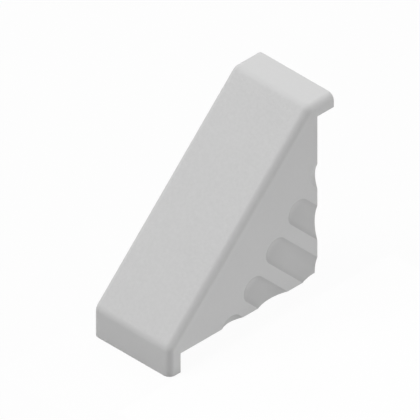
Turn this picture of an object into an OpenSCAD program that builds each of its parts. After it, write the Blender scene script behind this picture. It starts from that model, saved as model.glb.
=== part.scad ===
// Cover cap for a right-angle framing bracket, moulded in one piece.
// X runs across the cap, Y from the front lip to the tip of the top lip, Z up.

/* [Cap] */
// Width across the two side walls, mm
cap_width = 28; // [24:0.5:40]
// Length of each wall edge, from the outside of a lip to the inner corner, mm
leg_length = 54; // [48:1:80]
// Wall thickness of the sloped face and the side walls, mm
wall = 2; // [1.8:0.1:2.6]
// Radius of the long outside edges, mm
edge_radius = 2; // [1:0.25:2.5]
// Radius inside, where the sloped face meets the side walls, mm
inner_radius = 0.8; // [0.4:0.1:1.2]

/* [Lips] */
// How far each lip runs past the wall edges, mm
lip_reach = 6; // [3:0.5:10]
// Thickness of each lip, mm
lip_thickness = 4.1; // [3.5:0.1:6]
// Distance from a wall edge to the start of the bend into the sloped face, mm
bend_height = 1.6; // [1:0.1:3]
// Outside radius of the bend between a lip and the sloped face, mm
bend_radius = 3; // [2.75:0.25:5]

/* [Grooves] */
// Number of grooves in each side wall
groove_count = 5; // [3:2:5]
// Radius of the groove section and of its ball end, mm
groove_radius = 8; // [6:0.5:12]
// Depth of a groove at its middle, mm
groove_depth = 1; // [0.4:0.1:1.2]
// Flat land left between two grooves, mm
groove_land = 3.75; // [2:0.25:6]
// Distance from the sloped face to the tip of a groove, mm
groove_tip = 15.2; // [12:0.1:20]

/* [Hidden] */
$fn = 96;
cap_grey = [0.80, 0.80, 0.80];
// Round pieces stand this little proud of their neighbours, so faces cross cleanly
proud = 0.002;
// The rounded skin reaches this far past the middle of its edge
skin_depth = edge_radius + 0.5;
// The rod of a bend reaches this far into the side walls' flat outline
bend_overlap = 0.3;
// Whole height and length, lip edge to lip face
full_size = leg_length + lip_reach;
// Rise of the sloped face above the line from wall edge to wall edge
slope_rise = bend_height + bend_radius * tan(22.5);
// Point where the bend of the side walls' flat outline ends, from the lip's face and the wall edge
bend_point = [bend_radius - (bend_radius - edge_radius) * cos(45),
              bend_height + (bend_radius - edge_radius) * sin(45)];
// Half the width of a groove where it meets the wall
groove_half = sqrt(groove_radius * groove_radius
                   - (groove_radius - groove_depth) * (groove_radius - groove_depth));
groove_pitch = 2 * groove_half + groove_land;

// Section of the outer skin, round at both edges: outer face on the X axis, depth along +Y
module skin() {
    half = cap_width / 2 - edge_radius;
    translate([-half, 0])
        square([2 * half, skin_depth]);
    for (side = [0, 1])
        mirror([side, 0])
            translate([half, edge_radius])
                intersection() {
                    circle(r = edge_radius);
                    translate([0, -edge_radius])
                        square([edge_radius, skin_depth]);
                }
}

// Place a piece at the front bend axis, with +Z up the slope and +Y into the cap
module at_slope() {
    translate([0, bend_radius, bend_height])
        rotate([-45, 0, 0])
            children();
}

// Move a piece to the top lip: the cap is the same about the line through its corner
module other_end() {
    translate([0, leg_length, leg_length])
        mirror([0, 1, 1])
            children();
}

// Skin of one lip, with the outer part of the rod that bends it into the sloped face
module lip_skin() {
    translate([0, 0, -lip_reach])
        linear_extrude(height = lip_reach + bend_height)
            skin();
    intersection() {
        translate([0, bend_radius, bend_height])
            rotate([0, 90, 0])
                bend_rod();
        translate([-cap_width, -edge_radius, bend_height - 2 * bend_radius])
            cube([2 * cap_width, edge_radius + bend_point[0] + bend_overlap, 4 * bend_radius]);
    }
}

// Rod along a bend with rounded ends, a hair shorter than the flat part of the skin
module bend_rod() {
    radius = bend_radius + proud;
    inner = bend_radius - edge_radius;
    half = cap_width / 2 - edge_radius - proud / 2;
    end = half + edge_radius + proud;
    rotate_extrude()
        intersection() {
            union() {
                translate([-radius, -half])
                    square([2 * radius, 2 * half]);
                translate([-inner, -end])
                    square([2 * inner, 2 * end]);
                for (side = [-half, half])
                    translate([inner, side])
                        circle(r = edge_radius + proud);
            }
            translate([0, -cap_width])
                square([2 * radius, 2 * cap_width]);
        }
}

// Skin of the sloped face, from one bend axis to the other
module slope_skin() {
    at_slope()
        linear_extrude(height = (leg_length - bend_radius - bend_height) * sqrt(2))
            translate([0, -bend_radius])
                skin();
}

// Flat-sided core behind the skin, with the outline of the side walls
module core() {
    width = cap_width - 2 * proud;
    bend_end = leg_length - edge_radius;
    translate([-width / 2, 0, 0])
        rotate([90, 0, 90])
            linear_extrude(height = width)
                polygon([[edge_radius, -lip_reach],
                         [edge_radius, bend_height],
                         bend_point,
                         [leg_length - bend_point[1], leg_length - bend_point[0]],
                         [leg_length - bend_height, bend_end],
                         [full_size, bend_end],
                         [full_size, leg_length - lip_thickness],
                         [leg_length, leg_length - lip_thickness],
                         [leg_length, 0],
                         [lip_thickness, 0],
                         [lip_thickness, -lip_reach]]);
}

// Outside of the cap before it is hollowed
module envelope() {
    core();
    lip_skin();
    other_end()
        lip_skin();
    slope_skin();
}

// Hollow between the side walls, under the sloped face and between the lips
module hollow() {
    half = cap_width / 2 - wall - inner_radius;
    intersection() {
        at_slope()
            translate([0, wall - bend_radius, -leg_length])
                linear_extrude(height = 4 * leg_length) {
                    translate([-half, 0])
                        square([2 * half, 2 * leg_length]);
                    translate([-half - inner_radius, inner_radius])
                        square([2 * (half + inner_radius), 2 * leg_length]);
                    for (side = [0, 1])
                        mirror([side, 0])
                            translate([half, inner_radius])
                                intersection() {
                                    circle(r = inner_radius);
                                    translate([0, -inner_radius])
                                        square(inner_radius);
                                }
                }
        translate([-cap_width, lip_thickness, -full_size])
            cube([2 * cap_width,
                  2 * full_size,
                  full_size + leg_length - lip_thickness]);
    }
}

// One groove cutter: a rod with a ball end, pointing from the sloped face to the legs
module groove_rod() {
    rotate_extrude()
        intersection() {
            union() {
                circle(r = groove_radius);
                translate([-groove_radius, 0])
                    square([2 * groove_radius, leg_length]);
            }
            translate([0, -2 * groove_radius])
                square([2 * groove_radius, 2 * leg_length]);
        }
}

// Row of grooves on one side wall, spread about the line through the inner corner
module grooves(side) {
    middle = [(leg_length - slope_rise) / 2, (leg_length + slope_rise) / 2];
    down = groove_tip + groove_half;
    for (i = [0 : groove_count - 1]) {
        along = (i - (groove_count - 1) / 2) * groove_pitch;
        translate([side * (cap_width / 2 + groove_radius - groove_depth),
                   middle[0] + (along + down) / sqrt(2),
                   middle[1] + (along - down) / sqrt(2)])
            rotate([-135, 0, 0])
                groove_rod();
    }
}

module cap() {
    color(cap_grey)
        translate([0, -full_size / 2, lip_reach])
            difference() {
                envelope();
                hollow();
                grooves(-1);
                grooves(1);
            }
}

cap();
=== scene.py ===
"""Looks of the bracket cover cap: its plastic, a pale floor, soft studio light and the camera."""
import math

import bpy
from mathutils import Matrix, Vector


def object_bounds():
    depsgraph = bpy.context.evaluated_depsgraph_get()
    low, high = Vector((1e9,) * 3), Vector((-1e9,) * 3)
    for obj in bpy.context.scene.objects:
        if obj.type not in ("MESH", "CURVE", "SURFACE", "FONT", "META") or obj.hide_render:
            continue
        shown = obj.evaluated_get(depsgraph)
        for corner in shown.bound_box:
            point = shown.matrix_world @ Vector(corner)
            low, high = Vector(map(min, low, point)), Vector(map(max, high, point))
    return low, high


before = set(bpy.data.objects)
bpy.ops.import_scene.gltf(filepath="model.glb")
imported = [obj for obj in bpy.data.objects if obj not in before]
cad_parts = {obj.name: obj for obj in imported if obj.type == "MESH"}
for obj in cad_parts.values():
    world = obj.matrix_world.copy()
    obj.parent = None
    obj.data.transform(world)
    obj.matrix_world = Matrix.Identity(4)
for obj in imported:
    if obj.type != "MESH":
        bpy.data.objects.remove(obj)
cad_low, cad_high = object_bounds()
middle = (cad_low + cad_high) / 2
scene = bpy.context.scene
scene.view_settings.view_transform = "Standard"

MM = 0.001
HALF_ROOT = math.sqrt(0.5)

# Camera: a true isometric view, with the picture's scale and framing
VIEW_WIDTH = 108.35 * MM
VIEW_RIGHT = -0.8427 * MM
VIEW_UP = 1.0921 * MM
CAMERA_DISTANCE = 0.6
CLIP_NEAR = 0.01
CLIP_FAR = 10
TO_RIGHT = Vector((1, 1, 0)).normalized()
TO_TOP = Vector((-1, 1, 2)).normalized()
TO_CAMERA = Vector((1, -1, 1)).normalized()

# Shading: points this close are joined, edges that turn more than this stay sharp
WELD = 0.0002 * MM
SHARP_ANGLE = math.radians(20)
# A face counts as flat if it looks this closely along one of the cap's main directions
FLAT_LIMIT = 0.9999
# Weight that marks a flat face as a strong one for the Weighted Normal modifier
FLAT_STRENGTH = 16384.0

# Side walls, from the middle of the cap: just short of the outer face and of a groove's bed,
# and just past the inner face
OUTER_FACE = 13.99 * MM
GROOVE_BED = 12.9 * MM
INNER_FACE = 12.05 * MM

# Painted groove shade, standing in for the shade that falls in the grooves: where it is full, and the depths
# between which it gets lighter
PAINTED_SHADE_FULL = 13.95 * MM
DEPTH_START = 13.85 * MM
DEPTH_END = 13.25 * MM
# As y minus z, which grows away from the sloped face: where the tips start, and where the painted shade
# evens out
GROOVE_TIP = -17.6 * MM
GROOVE_EVEN = -1.5 * MM
# As y plus z, which grows up the slope: where the painted shade fades on the topmost groove, and what is
# left of it
FADE_START = 53 * MM
FADE_END = 55 * MM
FADE_SHARE = 0.4
# Faces of a groove look at least this much to the side
SIDEWAYS = 0.7
# Lightness of the painted groove shade from 0 to 1: its start, what depth and the way from the tip add, what
# facing upslope takes off
BASE_LIGHT = 0.14
DEPTH_LIGHT = 0.42
ALONG_LIGHT = 0.37
UPSLOPE_DARK = 0.85

# Plastic: lowest and highest grey of the plain skin and of the grooves' painted shade, and roughness
PLAIN_GREYS = (0.589, 0.656)
GROOVE_SHADE_GREYS = (0.454, 0.569)
ROUGHNESS = (0.48, 0.64)
SPECULAR = 0.25
# Grain: features per metre and levels of detail of its coarse, fine and wide parts, and their shares
GRAIN = (1100.0, 1.0)
FINE = (6000.0, 2.0)
FLOW = (70.0, 2.0)
GRAIN_SHARE = 0.8
FLOW_SHARE = 0.2
FINE_SHARE = 0.15
NOISE_MIDDLE = 0.5
GRAIN_HEIGHT = 0.05 * MM
GRAIN_STRENGTH = 0.8
# The lips and the side walls have this share of the sloped face's grain
SMOOTH_GRAIN = 0.3
# It grows to the full grain between these cosines of a face's angle to the sloped face
SLOPE_START = 0.97
SLOPE_FULL = 0.999

# Floor: a hair under the cap, so that the two faces don't flicker, and mostly white to the camera
FLOOR_LEVEL = -0.02 * MM
FLOOR_REACH = 4.0
FLOOR_GREY = 0.6
FLOOR_WHITE = 0.96
# Soft light from all around
WORLD_LIGHT = 0.05

# Soft lamps: name, azimuth and elevation in degrees (azimuth 0 is +X, 90 is +Y), size in metres and watts
LAMP_DISTANCE = 1.5
LAMPS = (
    ("left_high", 225, 65, 0.6, 9.1),
    ("left_low", 240, 25, 0.5, 5.15),
    ("overhead", 45, 85, 0.6, 6.0),
    ("back_left", 135, 45, 0.6, 5.6),
    ("right_back", 45, 8, 0.4, 7.2),
    ("right_front", -15, 8, 0.4, 2.15),
)

# Floor lights: narrow beams straight down beside the cap, so that its walls are lit from the floor as well
# Each has a name, its low and high X, its low and high Y, and its watts
BEAM_HEIGHT = 100 * MM
BEAM_SPREAD = math.radians(1)
BEAMS = (
    ("right_floor", 15 * MM, 115 * MM, -50 * MM, 50 * MM, 0.0125),
    ("front_floor", -20 * MM, 14 * MM, -60 * MM, -31 * MM, 0.0004),
)


def grey(level):
    return (level, level, level, 1)


class Nodes:
    """A short way to make the nodes of one tree and join them."""

    def __init__(self, tree):
        self.tree = tree
        self.tree.nodes.clear()

    def add(self, kind, inputs=None, **settings):
        node = self.tree.nodes.new(kind)
        for name, value in settings.items():
            setattr(node, name, value)
        for name, value in (inputs or {}).items():
            if isinstance(value, bpy.types.NodeSocket):
                self.tree.links.new(value, node.inputs[name])
            else:
                node.inputs[name].default_value = value
        return node

    def maths(self, operation, first, second=0.0):
        return self.add("ShaderNodeMath", {0: first, 1: second}, operation=operation).outputs[0]

    def split(self, vector):
        return self.add("ShaderNodeSeparateXYZ", {0: vector}).outputs

    def span(self, value, low, high, to_low=0.0, to_high=1.0, kind="LINEAR"):
        """Maps the range from low to high to another one, and holds its ends."""
        inputs = {"Value": value, "From Min": low, "From Max": high, "To Min": to_low, "To Max": to_high}
        return self.add("ShaderNodeMapRange", inputs, interpolation_type=kind).outputs["Result"]

    def noise(self, place, scale, detail):
        inputs = {"Vector": place, "Scale": scale, "Detail": detail}
        return self.add("ShaderNodeTexNoise", inputs).outputs["Fac"]

    def blend(self, factor, first, second):
        inputs = {"Factor": factor, "A": first, "B": second}
        return self.add("ShaderNodeMix", inputs, data_type="RGBA").outputs["Result"]

    def white_to_camera(self, plain, white, share):
        """The plain shader for the light, and this share of the white one for the camera and reflections."""
        rays = self.add("ShaderNodeLightPath").outputs
        reflected = self.maths("MAXIMUM", rays["Is Glossy Ray"], rays["Is Transmission Ray"])
        seen = self.maths("MAXIMUM", rays["Is Camera Ray"], reflected)
        factor = self.maths("MULTIPLY", seen, share)
        return self.add("ShaderNodeMixShader", {0: factor, 1: plain, 2: white}).outputs[0]

    def end(self, kind, source):
        self.tree.links.new(source, self.add(kind).inputs[0])


def make_camera():
    data = bpy.data.cameras.new("camera")
    data.type = "ORTHO"
    data.ortho_scale = VIEW_WIDTH
    data.clip_start = CLIP_NEAR
    data.clip_end = CLIP_FAR
    camera = bpy.data.objects.new("camera", data)
    target = middle + TO_RIGHT * VIEW_RIGHT + TO_TOP * VIEW_UP
    camera.location = target + TO_CAMERA * CAMERA_DISTANCE
    camera.rotation_euler = (-TO_CAMERA).to_track_quat("-Z", "Y").to_euler()
    scene.collection.objects.link(camera)
    scene.camera = camera


def flat_faces(n):
    """One on the cap's flat faces, and nothing on its rounds and grooves."""
    normal = n.split(n.add("GeometryNodeInputNormal").outputs[0])
    place = n.split(n.add("GeometryNodeInputPosition").outputs[0])
    # A groove's bed faces the same way as its wall, so it is told apart by its depth
    reach = n.maths("ABSOLUTE", place[0])
    outside = n.maths("GREATER_THAN", reach, INNER_FACE)
    below_face = n.maths("LESS_THAN", reach, OUTER_FACE)
    across = n.maths("SUBTRACT", n.maths("ABSOLUTE", normal[0]), n.maths("MULTIPLY", outside, below_face))
    slant = n.maths("ABSOLUTE", n.maths("SUBTRACT", normal[2], normal[1]))
    sloped = n.maths("MULTIPLY", slant, HALF_ROOT)
    level = n.maths("MAXIMUM", n.maths("ABSOLUTE", normal[1]), n.maths("ABSOLUTE", normal[2]))
    closest = n.maths("MAXIMUM", n.maths("MAXIMUM", across, sloped), level)
    return n.maths("GREATER_THAN", closest, FLAT_LIMIT)


def smooth_rounds(part):
    """Even shading: faces are joined, rounds shade smoothly, and flat faces keep their own direction."""
    tree = bpy.data.node_groups.new("smooth_rounds", "GeometryNodeTree")
    tree.interface.new_socket("Geometry", in_out="INPUT", socket_type="NodeSocketGeometry")
    tree.interface.new_socket("Geometry", in_out="OUTPUT", socket_type="NodeSocketGeometry")
    n = Nodes(tree)
    start = n.add("NodeGroupInput").outputs[0]
    joined = n.add("GeometryNodeMergeByDistance", {"Geometry": start, "Distance": WELD}).outputs[0]
    smooth = n.add("GeometryNodeSetShadeSmooth", {"Geometry": joined}, domain="FACE").outputs[0]
    turn = n.add("GeometryNodeInputMeshEdgeAngle").outputs["Unsigned Angle"]
    sharp = n.add("FunctionNodeCompare", {"A": turn, "B": SHARP_ANGLE}, operation="GREATER_THAN").outputs[0]
    creased = n.add("GeometryNodeSetShadeSmooth",
                    {"Geometry": smooth, "Selection": sharp, "Shade Smooth": False},
                    domain="EDGE").outputs[0]
    weighed = n.add("GeometryNodeStoreNamedAttribute",
                    {"Geometry": creased, "Name": "__mod_weightednormals_faceweight",
                     "Value": n.maths("MULTIPLY", flat_faces(n), FLAT_STRENGTH)},
                    data_type="INT", domain="FACE").outputs[0]
    n.end("NodeGroupOutput", weighed)
    part.modifiers.new("smooth_rounds", "NODES").node_group = tree
    weighted = part.modifiers.new("flat_faces", "WEIGHTED_NORMAL")
    weighted.mode = "FACE_AREA"
    weighted.keep_sharp = True
    weighted.use_face_influence = True


def groove_painted_shade(n, place, facing):
    """A mask that is one in the side walls' grooves, and how light the grooves' painted shade is from 0 to
    1.
    """
    reach = n.maths("ABSOLUTE", place[0])
    away = n.maths("SUBTRACT", place[1], place[2])
    upslope = n.maths("ADD", place[1], place[2])
    below_rim = n.span(reach, OUTER_FACE, PAINTED_SHADE_FULL, kind="SMOOTHSTEP")
    in_wall = n.maths("MULTIPLY", below_rim, n.maths("GREATER_THAN", reach, GROOVE_BED))
    beyond_tip = n.maths("GREATER_THAN", away, GROOVE_TIP)
    sideways = n.maths("GREATER_THAN", n.maths("ABSOLUTE", facing[0]), SIDEWAYS)
    shade_mask = n.maths("MULTIPLY", in_wall, n.maths("MULTIPLY", beyond_tip, sideways))
    # The topmost groove only grazes the wall's edge, so its painted shade is weaker and it is nearly as
    # light as the wall
    shade_mask = n.maths("MULTIPLY", shade_mask, n.span(upslope, FADE_START, FADE_END, 1.0, FADE_SHARE))
    # Painted shade: darker at the rim, at the tip and on the lower flank, which faces up along the slope
    depth = n.span(reach, DEPTH_START, DEPTH_END, kind="SMOOTHSTEP")
    along = n.span(away, GROOVE_TIP, GROOVE_EVEN)
    upward = n.maths("MULTIPLY", n.maths("ADD", facing[1], facing[2]), HALF_ROOT)
    gain = n.maths("ADD", n.maths("MULTIPLY", depth, DEPTH_LIGHT), n.maths("MULTIPLY", along, ALONG_LIGHT))
    change = n.maths("SUBTRACT", gain, n.maths("MULTIPLY", upward, UPSLOPE_DARK))
    return shade_mask, n.maths("ADD", change, BASE_LIGHT)


def make_plastic():
    material = bpy.data.materials.new("cap_plastic")
    material.use_nodes = True
    n = Nodes(material.node_tree)
    coords = n.add("ShaderNodeTexCoord").outputs
    place = coords["Object"]
    facing = n.split(coords["Normal"])
    grain = n.noise(place, *GRAIN)
    fine = n.noise(place, *FINE)
    flow = n.noise(place, *FLOW)
    # The sloped face has the full grain, the lips and the side walls are smoother
    slant = n.maths("MULTIPLY", n.maths("SUBTRACT", facing[2], facing[1]), HALF_ROOT)
    texture = n.span(slant, SLOPE_START, SLOPE_FULL, SMOOTH_GRAIN, 1.0)
    cloud = n.maths("ADD", n.maths("MULTIPLY", grain, GRAIN_SHARE), n.maths("MULTIPLY", flow, FLOW_SHARE))
    spread = n.maths("MULTIPLY", n.maths("SUBTRACT", cloud, NOISE_MIDDLE), texture)
    shade = n.maths("ADD", spread, NOISE_MIDDLE)
    plain = n.blend(shade, *map(grey, PLAIN_GREYS))
    # The grooves get a darker painted shade in their colour, standing in for the shade that falls in them
    shade_mask, light = groove_painted_shade(n, n.split(place), facing)
    groove_shade = n.blend(light, *map(grey, GROOVE_SHADE_GREYS))
    skin = n.maths("ADD", grain, n.maths("MULTIPLY", fine, FINE_SHARE))
    bump = n.add("ShaderNodeBump", {
        "Height": skin,
        "Strength": n.maths("MULTIPLY", texture, GRAIN_STRENGTH),
        "Distance": GRAIN_HEIGHT,
    }).outputs["Normal"]
    shader = n.add("ShaderNodeBsdfPrincipled", {
        "Base Color": n.blend(shade_mask, plain, groove_shade),
        "Roughness": n.span(fine, 0.0, 1.0, *ROUGHNESS),
        "Specular IOR Level": SPECULAR,
        "Normal": bump,
    }).outputs["BSDF"]
    n.end("ShaderNodeOutputMaterial", shader)
    return material


def make_floor():
    mesh = bpy.data.meshes.new("floor")
    signs = ((-1, -1), (1, -1), (1, 1), (-1, 1))
    corners = [(x * FLOOR_REACH, y * FLOOR_REACH, FLOOR_LEVEL) for x, y in signs]
    mesh.from_pydata(corners, [], [(0, 1, 2, 3)])
    floor = bpy.data.objects.new("floor", mesh)
    scene.collection.objects.link(floor)
    material = bpy.data.materials.new("floor_white")
    material.use_nodes = True
    n = Nodes(material.node_tree)
    paper = n.add("ShaderNodeBsdfDiffuse", {"Color": grey(FLOOR_GREY)}).outputs[0]
    white = n.add("ShaderNodeEmission", {"Color": grey(1), "Strength": 1.0}).outputs[0]
    n.end("ShaderNodeOutputMaterial", n.white_to_camera(paper, white, FLOOR_WHITE))
    mesh.materials.append(material)


def make_world():
    world = bpy.data.worlds.new("studio")
    world.use_nodes = True
    scene.world = world
    n = Nodes(world.node_tree)
    soft = n.add("ShaderNodeBackground", {"Color": grey(1), "Strength": WORLD_LIGHT}).outputs[0]
    white = n.add("ShaderNodeBackground", {"Color": grey(1), "Strength": 1.0}).outputs[0]
    n.end("ShaderNodeOutputWorld", n.white_to_camera(soft, white, 1.0))


def area_lamp(name, shape, size, power):
    data = bpy.data.lights.new(name, "AREA")
    data.shape = shape
    data.size = size
    data.energy = power
    lamp = bpy.data.objects.new(name, data)
    scene.collection.objects.link(lamp)
    return lamp


def soft_light(name, azimuth, elevation, size, power):
    lamp = area_lamp(name, "DISK", size, power)
    turn = math.radians(azimuth)
    rise = math.radians(elevation)
    towards = Vector((math.cos(turn) * math.cos(rise), math.sin(turn) * math.cos(rise), math.sin(rise)))
    lamp.location = middle + towards * LAMP_DISTANCE
    lamp.rotation_euler = (-towards).to_track_quat("-Z", "Y").to_euler()


def floor_light(name, low_x, high_x, low_y, high_y, power):
    lamp = area_lamp(name, "RECTANGLE", high_x - low_x, power)
    lamp.data.size_y = high_y - low_y
    lamp.data.spread = BEAM_SPREAD
    lamp.location = ((low_x + high_x) / 2, (low_y + high_y) / 2, BEAM_HEIGHT)


make_camera()
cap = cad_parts["cap"]
smooth_rounds(cap)
cap.data.materials.clear()
cap.data.materials.append(make_plastic())
make_floor()
make_world()
for settings in LAMPS:
    soft_light(*settings)
for settings in BEAMS:
    floor_light(*settings)
